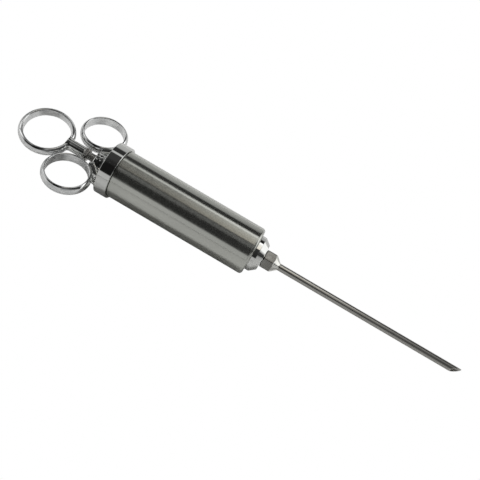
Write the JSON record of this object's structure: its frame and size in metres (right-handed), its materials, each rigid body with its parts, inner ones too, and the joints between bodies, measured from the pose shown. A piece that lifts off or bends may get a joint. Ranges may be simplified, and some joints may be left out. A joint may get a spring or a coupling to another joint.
{
  "type": "meat injector",
  "caption": "Stainless meat injector: piston syringe with finger rings, a thumb ring on the plunger, a screw-on rear cap and a screw-on needle with a bevelled point.",
  "frame": {"origin": "on the injector's axis, halfway along the straight outside of the barrel", "axes": "+X along the axis towards the needle point; +Y in the plane of the two finger rings, towards the left ring; +Z normal to that plane"},
  "size_m": [0.3177, 0.0738, 0.0352],
  "materials": {
    "brushed_steel": "satin, brushed round the barrel",
    "polished_steel": "mirror polished stainless steel",
    "chrome_steel": "bright plated",
    "rod_steel": "turned, with a fine thread at the rear",
    "nut_steel": "turned",
    "washer_steel": "turned",
    "spring_steel": "hardened, grey",
    "hub_steel": "satin, machined",
    "needle_steel": "drawn tube, satin",
    "silicone": "translucent white silicone",
    "nitrile": "black, matt",
    "ptfe": "white, waxy"
  },
  "bodies": {
    "barrel": {"barrel": "brushed_steel", "nozzle": "polished_steel"},
    "cap_carrier": {"cap_gasket": "silicone"},
    "cap": {"rear_cap": "polished_steel", "finger_yoke": "polished_steel", "finger_ring_left": "chrome_steel", "finger_ring_right": "chrome_steel", "rod_bush": "ptfe", "rod_seal": "nitrile", "seal_washer": "washer_steel", "bush_circlip": "spring_steel"},
    "piston_carrier": {"piston_seals": "nitrile"},
    "plunger": {"plunger_rod": "rod_steel", "thumb_ring": "chrome_steel", "thumb_shank": "polished_steel", "jam_nut": "nut_steel", "piston_rear_plate": "washer_steel", "piston_body": "ptfe", "piston_front_plate": "washer_steel", "piston_lock_washer": "spring_steel", "piston_nut": "nut_steel"},
    "needle_carrier": {"needle_gasket": "silicone"},
    "needle": {"needle_hub": "hub_steel", "needle_tube": "needle_steel"}
  },
  "joints": [
    {"name": "cap_travel", "type": "slide", "parent": "barrel", "child": "cap_carrier", "axis": [-1, 0, 0], "range_m": [0, 0.00525]},
    {"name": "cap_turn", "type": "hinge", "parent": "cap_carrier", "child": "cap", "pos_m": [-0.0561, 0, 0], "axis": [-1, 0, 0], "range_deg": [0, 1260]},
    {"name": "plunger_slide", "type": "slide", "parent": "cap", "child": "piston_carrier", "axis": [-1, 0, 0], "range_m": [0, 0.084]},
    {"name": "plunger_spin", "type": "hinge", "parent": "piston_carrier", "child": "plunger", "pos_m": [-0.08, 0, 0], "axis": [1, 0, 0], "continuous": true},
    {"name": "needle_travel", "type": "slide", "parent": "barrel", "child": "needle_carrier", "axis": [1, 0, 0], "range_m": [0, 0.00562]},
    {"name": "needle_turn", "type": "hinge", "parent": "needle_carrier", "child": "needle", "pos_m": [0.0564, 0, 0], "axis": [1, 0, 0], "range_deg": [0, 1620]}
  ],
  "couplings": [
    {"joint": "cap_travel", "follows": "cap_turn", "m_per_rad": 0.00023873},
    {"joint": "needle_travel", "follows": "needle_turn", "m_per_rad": 0.00019894}
  ]
}
